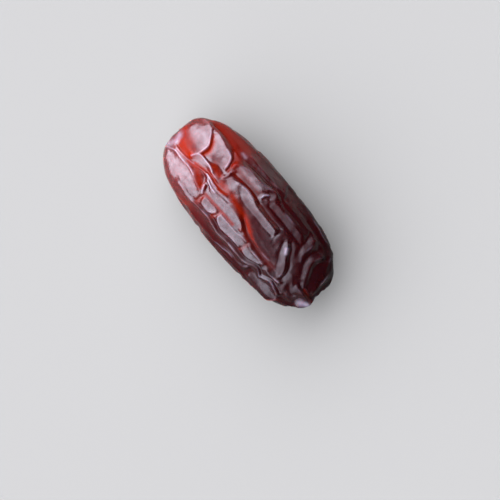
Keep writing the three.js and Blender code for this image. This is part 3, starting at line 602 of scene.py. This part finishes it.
def date_skin():
    """The folded skin, with the marks that its material reads."""
    points, normals = body_grid()
    crests, creases = all_folds()
    waver = np.stack([uneven(points, WAVER_SIZE, seed) for seed in WAVER_SEEDS], axis=1)
    heights, wax_and_sheen = fold_heights(points + WAVER * waver, crests, creases)
    heights += PUCKER * uneven(points, PUCKER_SIZE, PUCKER_SEED)
    free = smoothstep(points[:, 2], PRESSED, PRESSED + PRESS_FADE)
    heights = heights * free + end_heights(points)
    skin = points + heights[:, None] * normals
    skin[:, 2] = np.maximum(skin[:, 2], PRESSED)
    middle = (skin.min(axis=0) + skin.max(axis=0)) / 2
    skin -= (middle[0], middle[1], PRESSED)

    mesh = bpy.data.meshes.new("date_skin")
    mesh.from_pydata((skin * MM).tolist(), [], ring_faces(ALONG - 1, AROUND))
    mesh.polygons.foreach_set("use_smooth", [True] * len(mesh.polygons))
    painted_glow = patch_values(points, PAINTED_GLOW_PATCHES)
    dull = patch_values(points, DULL_SKIN)
    # Pale wax and painted sheen on the crests, kept off the painted glow
    pale_wax_and_highlight = wax_and_highlight_paleness(points, wax_and_sheen * (1 - painted_glow))
    for name, values in (("painted_glow", painted_glow), ("dull", dull), ("pale_wax_and_highlight", pale_wax_and_highlight)):
        mesh.attributes.new(name, "FLOAT", "POINT").data.foreach_set("value", values)
    mesh.update()
    piece = bpy.data.objects.new("date_skin", mesh)
    bpy.context.scene.collection.objects.link(piece)
    return piece


# Materials
def new_material(name):
    material = bpy.data.materials.new(name)
    material.use_nodes = True
    tree = material.node_tree
    tree.nodes.clear()
    output = tree.nodes.new("ShaderNodeOutputMaterial")
    shader = tree.nodes.new("ShaderNodeBsdfPrincipled")
    tree.links.new(shader.outputs["BSDF"], output.inputs["Surface"])
    return material, tree, shader


def set_surface(shader, values):
    for name, value in values.items():
        shader.inputs[name].default_value = value


def product(tree, first, second):
    times = tree.nodes.new("ShaderNodeMath")
    times.operation = "MULTIPLY"
    tree.links.new(first, times.inputs[0])
    tree.links.new(second, times.inputs[1])
    return times.outputs["Value"]


def multiply_add(tree, value, factor, addend):
    """The value times a number, plus a number or another output."""
    step = tree.nodes.new("ShaderNodeMath")
    step.operation = "MULTIPLY_ADD"
    step.inputs[1].default_value = factor
    tree.links.new(value, step.inputs[0])
    if isinstance(addend, bpy.types.NodeSocket):
        tree.links.new(addend, step.inputs[2])
    else:
        step.inputs[2].default_value = addend
    return step.outputs["Value"]


def spread(tree, value, ends, results=(0, 1), blend="LINEAR"):
    """Turns a value between two ends into one between the results that belong to them."""
    step = tree.nodes.new("ShaderNodeMapRange")
    step.interpolation_type = blend
    for name, number in zip(("From Min", "From Max", "To Min", "To Max"), (*ends, *results)):
        step.inputs[name].default_value = number
    tree.links.new(value, step.inputs["Value"])
    return step.outputs["Result"]


def noise_texture(tree, place, scale, detail, roughness=0.5):
    texture = tree.nodes.new("ShaderNodeTexNoise")
    texture.inputs["Scale"].default_value = scale
    texture.inputs["Detail"].default_value = detail
    texture.inputs["Roughness"].default_value = roughness
    tree.links.new(place, texture.inputs["Vector"])
    return texture.outputs["Fac"]


def mark(tree, name):
    """How strongly the skin carries one of the marks stored on its mesh."""
    attribute = tree.nodes.new("ShaderNodeAttribute")
    attribute.attribute_name = name
    return attribute.outputs["Fac"]


def tinted(tree, colour, shade, share):
    """A colour turned towards a shade."""
    mix = tree.nodes.new("ShaderNodeMix")
    mix.data_type = "RGBA"
    mix.inputs["B"].default_value = (*shade, 1)
    tree.links.new(share, mix.inputs["Factor"])
    tree.links.new(colour, mix.inputs["A"])
    return mix.outputs["Result"]


# Skin colour from the stem end to the tip, darker towards the stem end partly as painted shade, and shifted
# by stains
SKIN_STOPS = (0.2, 0.5, 0.75, 1.0)
SKIN_SHADES = (
    (0.008, 0.0011, 0.0014),
    (0.01, 0.0009, 0.0012),
    (0.018, 0.0009, 0.0011),
    (0.04, 0.0012, 0.0012),
)
STAIN_SCALE = 120  # features in a metre, as for the mottling and the grain
STAIN_DETAIL = 4
STAIN_SHARE = 0.3
PAINTED_GLOW_SHADE = (0.12, 0.006, 0.0006)  # painted glow of thin skin, as if lit from behind
WAX_AND_HIGHLIGHT_SHADE = (0.34, 0.29, 0.34)  # pale wax, with painted highlights along the crests

# Shares of the full gloss, and the noise that mottles it
PAINTED_GLOW_GLOSS = 0.02  # left where the glow is painted strongest
DULL_GLOSS = 0.05  # left where it is rubbed dullest
STEM_GLOSS = 0.45  # at the stem end, from where it rises towards the tip
GLOSS_RISES = (0.2, 0.95)  # start and end of that rise, as shares of the length
MOTTLED_GLOSS = 0.62  # in the dull part of the mottling
MOTTLE_SCALE = 800
MOTTLE_DETAIL = 5
MOTTLE_ROUGHNESS = 0.65
MOTTLE_RANGE = (0.35, 0.6)

# Grain
GRAIN_SCALE = 2200
GRAIN_DETAIL = 3
GRAIN_STRENGTH = 0.5
GRAIN_HEIGHT = 0.08  # mm

SKIN_SURFACE = {
    "Roughness": 0.38,
    "IOR": 1.5,
    "Specular IOR Level": 0.0,  # all of the shine is the coat's
    "Subsurface Weight": 0.35,
    "Subsurface Radius": (1.0, 0.18, 0.08),
    "Subsurface Scale": 2 * MM,
    "Coat Roughness": 0.17,
    "Coat IOR": 1.62,
}
FLOOR_SURFACE = {
    "Base Color": (0.14, 0.14, 0.12, 1),
    "Roughness": 0.9,
    "Specular IOR Level": 0.1,
}


def skin_colour(tree, place, along):
    """Red-brown skin, darker towards the stem end partly as painted shade, with a painted glow where it is
    thin and pale wax and painted highlights along the crests.
    """
    stain = noise_texture(tree, place, STAIN_SCALE, STAIN_DETAIL)
    colour = tree.nodes.new("ShaderNodeValToRGB")
    stops = colour.color_ramp.elements
    for stop, shade in zip(SKIN_STOPS[1:-1], SKIN_SHADES[1:-1]):
        stops.new(stop).color = (*shade, 1)
    for end in (0, -1):
        stops[end].position = SKIN_STOPS[end]
        stops[end].color = (*SKIN_SHADES[end], 1)
    tree.links.new(multiply_add(tree, stain, STAIN_SHARE, along), colour.inputs["Fac"])
    # Painted glow: brighter red where light would shine through the thin skin
    with_painted_glow = tinted(tree, colour.outputs["Color"], PAINTED_GLOW_SHADE, mark(tree, "painted_glow"))
    # Pale wax and painted highlights along the crests
    return tinted(tree, with_painted_glow, WAX_AND_HIGHLIGHT_SHADE, mark(tree, "pale_wax_and_highlight"))


def skin_gloss(tree, place, along):
    """Mottled gloss, less of it towards the stem end, where the glow is painted and where the skin is rubbed
    dull.
    """
    kept_where_glow_painted = spread(tree, mark(tree, "painted_glow"), (0, 1), (1, PAINTED_GLOW_GLOSS))
    kept_if_dull = spread(tree, mark(tree, "dull"), (0, 1), (1, DULL_GLOSS))
    rising = spread(tree, along, GLOSS_RISES, (STEM_GLOSS, 1))
    mottle = noise_texture(tree, place, MOTTLE_SCALE, MOTTLE_DETAIL, MOTTLE_ROUGHNESS)
    mottled = spread(tree, mottle, MOTTLE_RANGE, (MOTTLED_GLOSS, 1))
    gloss = product(tree, product(tree, kept_where_glow_painted, kept_if_dull), rising)
    return product(tree, gloss, mottled)


def skin_grain(tree, place):
    relief = tree.nodes.new("ShaderNodeBump")
    relief.inputs["Strength"].default_value = GRAIN_STRENGTH
    relief.inputs["Distance"].default_value = GRAIN_HEIGHT * MM
    tree.links.new(noise_texture(tree, place, GRAIN_SCALE, GRAIN_DETAIL), relief.inputs["Height"])
    return relief.outputs["Normal"]


def skin_material():
    material, tree, shader = new_material("date_skin")
    place = tree.nodes.new("ShaderNodeTexCoord").outputs["Object"]
    split = tree.nodes.new("ShaderNodeSeparateXYZ")
    tree.links.new(place, split.inputs["Vector"])
    along = spread(tree, split.outputs["X"], (-LENGTH / 2 * MM, LENGTH / 2 * MM))
    grain = skin_grain(tree, place)
    tree.links.new(skin_colour(tree, place, along), shader.inputs["Base Color"])
    tree.links.new(skin_gloss(tree, place, along), shader.inputs["Coat Weight"])
    tree.links.new(grain, shader.inputs["Normal"])
    tree.links.new(grain, shader.inputs["Coat Normal"])
    set_surface(shader, SKIN_SURFACE)
    return material


def floor_material():
    material, _, shader = new_material("floor")
    set_surface(shader, FLOOR_SURFACE)
    return material


# Stage, in metres
FLOOR_SIZE = 4.0


def make_floor():
    half = FLOOR_SIZE / 2
    mesh = bpy.data.meshes.new("floor")
    corners = [(-half, -half, 0), (half, -half, 0), (half, half, 0), (-half, half, 0)]
    mesh.from_pydata(corners, [], [(0, 1, 2, 3)])
    mesh.materials.append(floor_material())
    floor = bpy.data.objects.new("floor", mesh)
    bpy.context.scene.collection.objects.link(floor)


# The photograph's view: straight down, with the tip towards the upper left
PHOTO_PIXELS = 500
DATE_CENTRE_PIXEL = (249.1, 213.0)
DATE_LENGTH_PIXELS = 218.3
TIP_DIRECTION = Vector((-0.641, 0.7675))  # in the picture, right and up
CAMERA_DISTANCE = 0.4  # metres, as is the next
CLIP_START = 0.01
SENSOR_WIDTH = 36  # mm


def make_camera():
    centre = (Vector(cad_box[0]) + Vector(cad_box[1])) / 2
    scale = (cad_box[1][0] - cad_box[0][0]) / DATE_LENGTH_PIXELS
    right = Vector((TIP_DIRECTION.x, -TIP_DIRECTION.y, 0)).normalized()
    up = Vector((TIP_DIRECTION.y, TIP_DIRECTION.x, 0)).normalized()
    shift_right = (PHOTO_PIXELS / 2 - DATE_CENTRE_PIXEL[0]) * scale
    shift_up = (DATE_CENTRE_PIXEL[1] - PHOTO_PIXELS / 2) * scale
    aim = centre + right * shift_right + up * shift_up
    camera = bpy.data.cameras.new("camera")
    camera.sensor_width = SENSOR_WIDTH
    camera.lens = SENSOR_WIDTH * CAMERA_DISTANCE / (PHOTO_PIXELS * scale)
    camera.clip_start = CLIP_START
    holder = bpy.data.objects.new("camera", camera)
    place = aim + Vector((0, 0, CAMERA_DISTANCE))
    holder.matrix_world = Matrix.Translation(place) @ Matrix((right, up, (0, 0, 1))).transposed().to_4x4()
    bpy.context.scene.collection.objects.link(holder)
    bpy.context.scene.camera = holder


# The studio: a broad soft light wrapped round the tip and the +Y side, and a dim room.
# Where no comment says otherwise, a pair gives, in degrees, where the light starts to fade and where it ends.
LIGHT_AZIMUTH = 38  # middle of the light, from +X towards +Y
LIGHT_TO_EACH_SIDE = (74, 112)
LIGHT_UP_TO = (62, 82)
LIGHT_DOWN_TO = (6, 0)
LIGHT_LEVEL = 7.5
BRIGHTEST_AT = (15, 45)  # azimuth and elevation of the brightest part
BRIGHTEST_REACH = (10, 80)
BRIGHTEST_LEVEL = 5.0
CEILING_DOWN_TO = (76, 64)
CEILING_LEVEL = 0.7
ROOM_LEVEL = 0.01
LIGHT_COLOUR = (0.84, 0.84, 1.0)

# A weak area light on the same side, in metres and watts
WINDOW_AT = (50, 42)  # azimuth and elevation, in degrees
WINDOW_DISTANCE = 0.6
WINDOW_SIZE = (0.5, 0.35)
WINDOW_POWER = 0.15


def direction_to(azimuth, elevation):
    turn, rise = math.radians(azimuth), math.radians(elevation)
    return Vector((math.cos(turn) * math.cos(rise), math.sin(turn) * math.cos(rise), math.sin(rise)))


def cosines(angles):
    return [math.cos(math.radians(angle)) for angle in angles]


def sines(angles):
    return [math.sin(math.radians(angle)) for angle in angles]


def fade(tree, value, pair):
    """Fades from 1 where the value is the first of the pair to 0 where it is the second."""
    start, end = pair
    return spread(tree, value, (end, start), blend="SMOOTHSTEP")


def level_bearing(tree, direction):
    """A direction laid level, with length 1."""
    level = tree.nodes.new("ShaderNodeVectorMath")
    level.operation = "MULTIPLY"
    level.inputs[1].default_value = (1, 1, 0)
    tree.links.new(direction, level.inputs[0])
    bearing = tree.nodes.new("ShaderNodeVectorMath")
    bearing.operation = "NORMALIZE"
    tree.links.new(level.outputs["Vector"], bearing.inputs[0])
    return bearing.outputs["Vector"]


def cosine_between(tree, direction, middle):
    """Cosine of the angle between a direction and the middle of a light."""
    dot = tree.nodes.new("ShaderNodeVectorMath")
    dot.operation = "DOT_PRODUCT"
    dot.inputs[1].default_value = middle
    tree.links.new(direction, dot.inputs[0])
    return dot.outputs["Value"]


def make_room():
    world = bpy.data.worlds.new("room")
    world.use_nodes = True
    tree = world.node_tree
    direction = tree.nodes.new("ShaderNodeTexCoord").outputs["Generated"]
    split = tree.nodes.new("ShaderNodeSeparateXYZ")
    tree.links.new(direction, split.inputs["Vector"])
    height = split.outputs["Z"]

    beside = cosine_between(tree, level_bearing(tree, direction), direction_to(LIGHT_AZIMUTH, 0))
    sideways = fade(tree, beside, cosines(LIGHT_TO_EACH_SIDE))
    upward = fade(tree, height, sines(LIGHT_UP_TO))
    downward = fade(tree, height, sines(LIGHT_DOWN_TO))
    light = product(tree, product(tree, upward, downward), sideways)
    ceiling = fade(tree, height, sines(CEILING_DOWN_TO))
    round_brightest = cosine_between(tree, direction, direction_to(*BRIGHTEST_AT))
    brightest = fade(tree, round_brightest, cosines(BRIGHTEST_REACH))

    total = multiply_add(tree, ceiling, CEILING_LEVEL, ROOM_LEVEL)
    total = multiply_add(tree, light, LIGHT_LEVEL, total)
    total = multiply_add(tree, brightest, BRIGHTEST_LEVEL, total)
    background = tree.nodes["Background"]
    background.inputs["Color"].default_value = (*LIGHT_COLOUR, 1)
    tree.links.new(total, background.inputs["Strength"])
    bpy.context.scene.world = world


def make_window():
    light = bpy.data.lights.new("window", "AREA")
    light.shape = "RECTANGLE"
    light.size, light.size_y = WINDOW_SIZE
    light.energy = WINDOW_POWER
    light.color = LIGHT_COLOUR
    direction = direction_to(*WINDOW_AT)
    holder = bpy.data.objects.new("window", light)
    holder.location = direction * WINDOW_DISTANCE
    holder.rotation_euler = direction.to_track_quat("Z", "Y").to_euler()
    bpy.context.scene.collection.objects.link(holder)


def main():
    skin = date_skin()
    skin.data.materials.append(skin_material())
    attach(skin, "root")
    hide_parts("date_fruit")
    make_floor()
    make_camera()
    make_window()
    make_room()
    bpy.context.scene.view_settings.view_transform = "Standard"


main()
